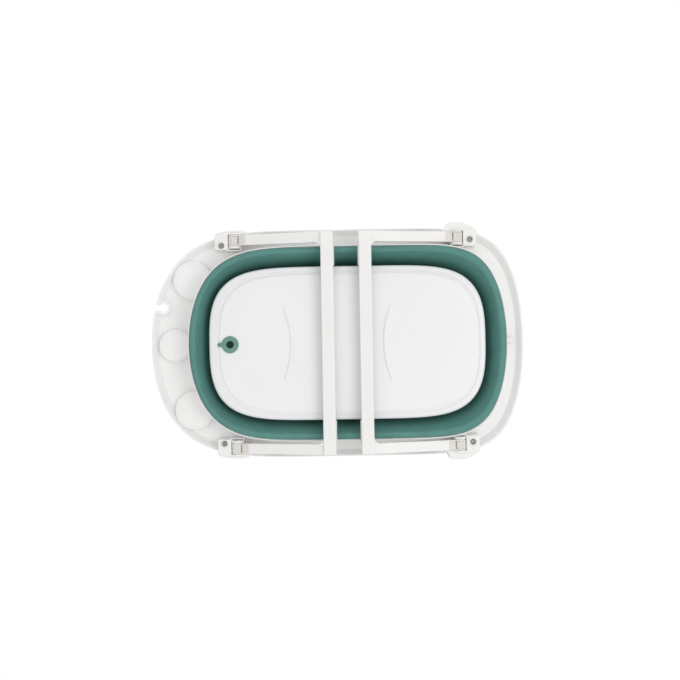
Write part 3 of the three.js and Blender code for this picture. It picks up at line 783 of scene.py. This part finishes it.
# ---------- drain plug ----------
def make_plug():
    """A rubber plug: a flange with a pull tab, and a hollow stem, whose inside is painted with near-black
    shade.
    """
    x = DRAIN[0]
    low, top, tip = PLUG_LOW[2], PANEL_FOOT - GAP, PLUG_HIGH[2]
    flange = [(0, low + 0.5), (8.2, low + 0.5), (9.4, low)]
    flange += list(arc((17.0, low + 1.0), 1.0, -90, 0, 3))
    flange += list(arc((17.2, top - 0.8), 0.8, 0, 90, 3))
    flange += [(9.9, top), (9.9, top + 2.4), (9.6, top + 3.2)]
    flange += [(8.9, tip - 0.6), (8.3, tip), (0, tip)]
    plug = lathe("plug_body", flange, DRAIN, 96)
    tab = [(x - 26, -3.8), (x - 12, -5.4), (x - 12, 5.4), (x - 26, 3.8)]
    add(plug, rounded("tab", tab, low, top - 0.02, 0.7, 3.2))
    for along in (-25.4, -22.8):
        cut(plug, block("grip", x + along, x + along + 1, -2.4, 2.4, low - 0.5, low + 0.6, 0.3))
    ceiling = tip - 1.6
    well = [(0, low - 1), (8.8, low - 1), (8.0, low + 0.4), (7.8, low + 2.2), (8.4, low + 3.4)]
    cut(plug, lathe("well", [*well, (7.2, ceiling), (0, ceiling)], DRAIN, 64))
    finished(plug, GREEN_PLUG)
    # Painted shade: the faces inside the stem's hollow get a near-black green.
    plug.data.materials.append(PLUG_HOLLOW_SHADE)
    for face in plug.data.polygons:
        centre = face.center / MM
        inside = math.hypot(centre.x - x, centre.y) < 8.6 and low + 2 < centre.z < tip - 1
        face.material_index = 1 if inside else 0
    stands_for(plug, "drain_plug", "plug_green", "drain_plug")


# ---------- legs ----------
POCKET_HALF = 7.6             # the catch's pocket, outboard of the hinge's axis
SLOT_NEAR = 10.0              # the same pocket's end towards the crossbar, with the open slot
POCKET_TOP = 66.6
POCKET_WALL = 2.8
BAR_POCKETS = 7
PAD_CENTRE = 188.0
PAD_HALF = 26.0
PAD_Z = 11.0
PAD_RISE = 7.0


def corner_fillet(x, y, to_x, to_y, radius, z0, z1):
    """The concave filling of an inner corner at (x, y), reaching radius along both sides."""
    hub = (x + to_x * radius, y + to_y * radius)
    start = math.degrees(math.atan2(-to_y, 0))
    end = math.degrees(math.atan2(0, -to_x))
    if end - start > 180:
        end -= 360
    if start - end > 180:
        end += 360
    curve = [tuple(p) for p in arc(hub, radius, start, end, 10)]
    back = [(x - to_x * 2, curve[-1][1]), (x - to_x * 2, y - to_y * 2), (curve[0][0], y - to_y * 2)]
    return rounded("fillet", [*curve, *back], z0, z1, 0)


def make_leg(leg):
    """One frame: a crossbar, two sloping arms and two round knuckles, in one moulding."""
    out = leg["out"]

    def x_at(along):
        return leg["x"] - out * along

    bar_near, bar_mid = REACH - BAR_WIDTH, REACH - BAR_WIDTH / 2
    name = f"{leg['name']}_leg_frame"
    frame_piece = block(name, x_at(bar_near), x_at(REACH), -ARM_OUT, ARM_OUT, 0, BAR_HEIGHT, 2.2, 4)
    slope = math.atan2(HINGE_Z - BAR_HEIGHT / 2, bar_mid)
    dx, dz = ARM_THICK / 2 * math.sin(slope), ARM_THICK / 2 * math.cos(slope)
    arm = [
        (x_at(dx), HINGE_Z + dz),
        (x_at(-dx), HINGE_Z - dz),
        (x_at(bar_mid - dx), BAR_HEIGHT / 2 - dz + 0.4),
        (x_at(bar_mid + dx), BAR_HEIGHT / 2 + dz - 0.4),
    ]
    for side in (-1, 1):
        add(frame_piece, side_profile("arm", arm, side * ARM_IN, side * ARM_OUT, 1.6))
        half = (ARM_OUT - ARM_IN) / 2
        knuckle = round_post("knuckle", (0, 0), KNUCKLE_R, -half, half, 1.4)
        turned_along_y(knuckle, leg["x"], HINGE_Z)
        knuckle.data.transform(Matrix.Translation((0, side * (ARM_IN + ARM_OUT) / 2 * MM, 0)))
        add(frame_piece, knuckle)
        inner_corner = (x_at(bar_near), side * ARM_IN)
        add(frame_piece, corner_fillet(*inner_corner, out, -side, 12, 3.5, BAR_HEIGHT - 3))

    # Pockets in the crossbar's top, the catches' pockets under the knuckles, and the pads' recesses.
    end = ARM_IN - 6
    pitch = 2 * end / BAR_POCKETS
    for i in range(BAR_POCKETS):
        y = i * pitch - end
        near, far = x_at(bar_near + 3), x_at(REACH - 5)
        cut(frame_piece, block("pocket", near, far, y + 1.2, y + pitch - 1.2, 3.5, BAR_HEIGHT + 2, 1.0))
    for side in (-1, 1):
        inner, outer = side * (ARM_IN + POCKET_WALL), side * (ARM_OUT - POCKET_WALL)
        near, far = x_at(SLOT_NEAR), x_at(-POCKET_HALF)
        cut(frame_piece, block("pocket", near, far, inner, outer, HINGE_Z - 30, POCKET_TOP, 0))
        pad_y = (side * PAD_CENTRE - PAD_HALF, side * PAD_CENTRE + PAD_HALF)
        near, far = x_at(REACH - 1.5), x_at(REACH + 9)
        cut(frame_piece, block("recess", near, far, *pad_y, PAD_Z - PAD_RISE, PAD_Z + PAD_RISE, 0))
    bore = round_post("bore", (0, 0), PIN_R + GAP, -ARM_OUT - 2, ARM_OUT + 2, 0.1, sides=32)
    cut(frame_piece, turned_along_y(bore, leg["x"], HINGE_Z))
    finished(frame_piece, WHITE_LEG)
    body = f"{leg['name']}_leg"
    stands_for(frame_piece, body, "leg_white", body)


def make_shoe(corner):
    """A shoe let into the sloping arm's end beside the lock catch, coloured a warm beige that is painted
    shade.
    """
    slope = math.atan2(HINGE_Z - BAR_HEIGHT / 2, REACH - BAR_WIDTH / 2)

    def underside(out):
        return HINGE_Z + out * math.tan(slope) - ARM_THICK / 2 / math.cos(slope)

    near, far, proud, deep = -24.0, -SLOT_NEAR - 0.2, 0.35, 1.6
    ends = [(near, -proud), (far, -proud), (far, deep), (near, deep)]
    points = [(corner["x"] + corner["out"] * u, underside(u) + dz) for u, dz in ends]
    inner, outer = corner["side"] * (ARM_IN + 1.8), corner["side"] * (ARM_OUT - 1.8)
    shoe = side_profile(f"arm_shoe_{corner['name']}", points, inner, outer, 0.5)
    (x0, foot), (x1, _) = points[:2]
    for across in (-5.4, 0, 5.4):
        middle = corner["side"] * ((ARM_IN + ARM_OUT) / 2 + across)
        cut(shoe, block("groove", x0, x1, middle - 0.5, middle + 0.5, 40, foot + 0.9, 0))
    # Painted shade: the shoe takes the catches' warm beige.
    finished(shoe, CATCH_SHADE_BEIGE)
    stands_for(shoe, f"{corner['leg']}_leg", "catch_white")


def make_pad(corner):
    """A soft foot pad with rounded edges and four grip grooves."""
    node = f"foot_pad_{corner['name']}"
    low, high = box_mm(node)
    centre = (low + high) / 2
    thick, wide, tall = (high - low) / 2
    plan = [(-wide, -tall), (wide, -tall), (wide, tall), (-wide, tall)]
    pad = rounded(f"pad_{corner['name']}", plan, -thick, thick, 0.7, 2.4)
    for across in (-15, -5, 5, 15):
        groove = (across - 0.9, across + 0.9, 1.8 - tall, tall - 1.8, thick - 0.8, thick + 1)
        cut(pad, block("groove", *groove, 0.2))
    turn = Matrix(((0, 0, -corner["out"], 0), (1, 0, 0, 0), (0, 1, 0, 0), (0, 0, 0, 1)))
    pad.data.transform(Matrix.Translation(centre * MM) @ turn)
    outwards(pad.data)
    finished(pad, GREY_PAD)
    stands_for(pad, f"{corner['leg']}_leg", "pad_grey", node)


# ---------- hinge brackets, screws, pins and catches ----------
SHELL_FOOT = 64.0
HOUSING_FOOT = 61.5
LEDGE_FOOT = 68.0
WEB_NEAR = 13.5
SCREW_SEAT = 73.0


def make_bracket(corner):
    """A hinge housing: plate, two cheeks, the swelling outside them, and the block with the screw."""
    top = PLATE_FOOT + 1
    name = corner["name"]
    x = corner["x"]
    bracket = rounded(f"bracket_{name}", bump_plan(corner, LEDGE_IN, 0), PLATE_FOOT, BRACKET_TOP, 0.5)

    def part(out0, out1, across0, across1, z0, z1=top, edge=0.6):
        return corner_block(corner, "part", out0, out1, across0, across1, z0, z1, edge)

    round_cheek = [(x - CHEEK_R, top), *arc((x, HINGE_Z), CHEEK_R, 180, 360, 24), (x + CHEEK_R, top)]
    for across in ((CHEEK_IN, ARM_IN - 0.5), (ARM_OUT + 0.5, CHEEK_OUT)):
        inner, outer = (corner["side"] * y for y in across)
        add(bracket, side_profile("cheek", round_cheek, inner, outer, 0.8))

    # The swelling outside the arm, and its low run-up along the arm.
    swelling = bump_plan(corner, ARM_OUT + 0.7, -0.12)
    add(bracket, rounded("swelling", swelling, SHELL_FOOT, top + 0.2, 3.0, segments=5))
    run_up = [(-64, 0.6), (-64, 1.4), (-50, 4), (-27, 5), (-27, 0.6)]
    run_up = [at(corner, u, ARM_OUT + v) for u, v in run_up]
    add(bracket, rounded("run_up", run_up, SKIRT_FOOT - 3.5, SKIRT_FOOT + 3, 1.2))

    # The closed block behind the knuckle, with the screw's recess.
    back = max(corner["bump"] - 17.5, CHEEK_OUT - 4.5)
    front = LEDGE_IN + 2
    housing = [(WEB_NEAR, front), (WEB_NEAR, CHEEK_OUT + 0.6), (26, CHEEK_OUT + 0.8)]
    housing = [at(corner, *p) for p in [*housing, (42, back), (42, front)]]
    add(bracket, rounded("housing", housing, HOUSING_FOOT, top, 2.2, 3.5, 4))
    add(bracket, part(-CHEEK_R, WEB_NEAR + 4, LEDGE_IN, CHEEK_IN + 1, LEDGE_FOOT, edge=0.9))
    boss = at(corner, BOSS_OUT, corner["boss"])
    add(bracket, round_post("boss", boss, BOSS_R, HOUSING_FOOT - 1.2, top, 1.0))

    recess = [(0, 50), (7.6, 50), (7.6, HOUSING_FOOT - 0.8), (6.6, HOUSING_FOOT + 1)]
    recess += [(6.3, HOUSING_FOOT + 2.5), (5.3, SCREW_SEAT), (0, SCREW_SEAT)]
    cut(bracket, lathe("recess", recess, boss, 48))
    for hole, radius, foot, sides in (("shank", 2.4, 66, 24), ("seat", 5.3, SCREW_SEAT + 3.5, 32)):
        profile = [(0, foot), (radius, foot), (radius, RIM_TOP), (0, RIM_TOP)]
        cut(bracket, lathe(hole, profile, boss, sides))
    cut(bracket, part(-12, 12, LEDGE_IN + 2.9, LEDGE_IN + 4.7, 60, 89, edge=0.4))
    cut(bracket, behind(3 * GAP + WALL, *ALL_Z))
    low, high = sorted((corner["side"] * (CHEEK_IN - 1), corner["side"] * (CHEEK_OUT - 0.8)))
    bore = round_post("bore", (0, 0), PIN_R + GAP, low, high, 0.1, sides=32)
    cut(bracket, turned_along_y(bore, x, HINGE_Z))
    finished(bracket, WHITE_BRACKET)
    stands_for(bracket, "rim", "bracket_white", f"hinge_bracket_{name}")


def make_screw(corner):
    """A pan-head screw with a cross recess."""
    node = f"bracket_screw_{corner['name']}"
    low, high = box_mm(node)
    x, y = (low[:2] + high[:2]) / 2
    foot = low[2]
    profile = list(arc((0, foot + 3.4), 3.4, -90, -62, 3))
    profile += [(3.6, foot + 0.7), (4.4, foot + 1.4), (4.5, foot + 3.2), (2, foot + 3.2)]
    profile += [(2, high[2]), (0, high[2])]
    screw = lathe(f"screw_{corner['name']}", profile, (x, y), 48)
    for long_x, long_y in ((2.5, 0.6), (0.6, 2.5)):
        cross = (x - long_x, x + long_x, y - long_y, y + long_y, foot - 1, foot + 2)
        cut(screw, block("cross", *cross, 0))
    finished(screw, STEEL)
    stands_for(screw, "rim", "screw_steel", node)


def make_catch(corner):
    """A press tab with rounded edges and three grip ribs."""
    node = f"lock_catch_{corner['name']}"
    low, high = box_mm(node)
    foot = low[2] + 0.8
    box = (low[0], high[0], low[1], high[1], foot, high[2])
    catch = block(f"catch_{corner['name']}", *box, 0.7, 3)
    for offset in (-4.5, 0, 4.5):
        x = corner["x"] + offset
        ridge = (x - 0.7, x + 0.7, low[1] + 1.5, high[1] - 1.5, low[2], foot + 1)
        add(catch, block("ridge", *ridge, 0.35))
    # Painted shade: the catch is a warm beige, darker than the other whites.
    finished(catch, CATCH_SHADE_BEIGE)
    stands_for(catch, node, "catch_white", node)


make_rim()
make_base()
make_wall()
make_plug()
for leg in LEGS:
    make_leg(leg)
for corner in CORNERS:
    make_shoe(corner)
    make_pad(corner)
    make_bracket(corner)
    make_screw(corner)
    make_catch(corner)
    pin = NODES[f"hinge_pin_{corner['name']}"]
    for slot in pin.material_slots:
        slot.material = STEEL


# ---------- floor, light and camera, in metres ----------
FLOOR_HALF = 6.0
FLOOR_Z = -0.0006


def make_floor():
    """A pale floor just under the object, seen only from above, so it doesn't block the camera."""
    corners = [(x * FLOOR_HALF, y * FLOOR_HALF, FLOOR_Z) for x, y in ((-1, -1), (1, -1), (1, 1), (-1, 1))]
    mesh = bpy.data.meshes.new("floor")
    mesh.from_pydata(corners, [], [(0, 1, 2, 3)])
    floor = link("floor", mesh)
    n = Nodes("floor_paint")
    paint = n.mix(n.spread(n.noise(1.5, 3), 0, 1), (0.8, 0.8, 0.795), (0.82, 0.82, 0.815))
    n.join(paint, n.shader.inputs["Base Color"])
    n.shader.inputs["Roughness"].default_value = 0.8
    clear = n.node("ShaderNodeBsdfTransparent")
    either = n.node("ShaderNodeMixShader")
    n.join(n.node("ShaderNodeNewGeometry").outputs["Backfacing"], either.inputs[0])
    n.join(n.shader.outputs[0], either.inputs[1])
    n.join(clear.outputs[0], either.inputs[2])
    n.join(either.outputs[0], n.tree.nodes["Material Output"].inputs["Surface"])
    mesh.materials.append(n.material)
    floor.visible_diffuse = floor.visible_glossy = False
    floor.visible_transmission = floor.visible_shadow = False


SKY = (("From Min", -1.0), ("From Max", 0.1), ("To Min", 0.945), ("To Max", 0.5))


def make_world():
    """A white tent: brighter below, softer above, and plain white where the camera sees past the object."""
    world = bpy.data.worlds.new("tent")
    bpy.context.scene.world = world
    world.use_nodes = True
    tree = world.node_tree
    light = tree.nodes["Background"]
    seen = tree.nodes.new("ShaderNodeBackground")
    seen.inputs["Color"].default_value = (1, 1, 1, 1)
    direction = tree.nodes.new("ShaderNodeTexCoord")
    split = tree.nodes.new("ShaderNodeSeparateXYZ")
    strength = tree.nodes.new("ShaderNodeMapRange")
    for name, value in SKY:
        strength.inputs[name].default_value = value
    path = tree.nodes.new("ShaderNodeLightPath")
    either = tree.nodes.new("ShaderNodeMixShader")
    tree.links.new(direction.outputs["Generated"], split.inputs[0])
    tree.links.new(split.outputs["Z"], strength.inputs["Value"])
    tree.links.new(strength.outputs["Result"], light.inputs["Strength"])
    light.inputs["Color"].default_value = (1, 0.998, 0.992, 1)
    tree.links.new(path.outputs["Is Camera Ray"], either.inputs[0])
    tree.links.new(light.outputs[0], either.inputs[1])
    tree.links.new(seen.outputs[0], either.inputs[2])
    tree.links.new(either.outputs[0], tree.nodes["World Output"].inputs["Surface"])


def make_light(name, place, target, size, power, colour):
    data = bpy.data.lights.new(name, "AREA")
    data.shape = "SQUARE"
    data.size = size
    data.energy = power
    data.color = colour
    lamp = link(name, data)
    lamp.location = place
    lamp.rotation_euler = (Vector(target) - Vector(place)).to_track_quat("-Z", "Y").to_euler()
    lamp.visible_camera = False


CAMERA_BELOW = 2.4
FIELD = 1.4668                # the picture's width at the height of the skirt's foot
TURN = math.radians(1.0)
AIM = (0.0054, 0.006)         # the camera's shift to its right and up
SENSOR = 36


def make_camera():
    """Straight below the tub, looking up, with the tub's length level in the picture."""
    right = Vector((math.cos(TURN), math.sin(TURN), 0))
    up = Vector((math.sin(TURN), -math.cos(TURN), 0))
    data = bpy.data.cameras.new("camera")
    data.sensor_width = SENSOR
    data.lens = SENSOR * (CAMERA_BELOW + SKIRT_FOOT * MM) / FIELD
    camera = link("camera", data)
    place = right * AIM[0] + up * AIM[1] - Vector((0, 0, CAMERA_BELOW))
    camera.matrix_world = Matrix((
        (right.x, up.x, 0, place.x),
        (right.y, up.y, 0, place.y),
        (0, 0, -1, place.z),
        (0, 0, 0, 1),
    ))
    bpy.context.scene.camera = camera


make_floor()
make_world()
make_light("side_light", (2.2, 0.1, -3.7), (0, 0, 0.05), 1.9, 37, (0.975, 0.985, 1.0))
make_light("top_light", (-0.9, -1.1, 1.9), (0, 0, 0.1), 1.4, 30, (1, 1, 1))
make_camera()
bpy.context.scene.view_settings.view_transform = "Standard"
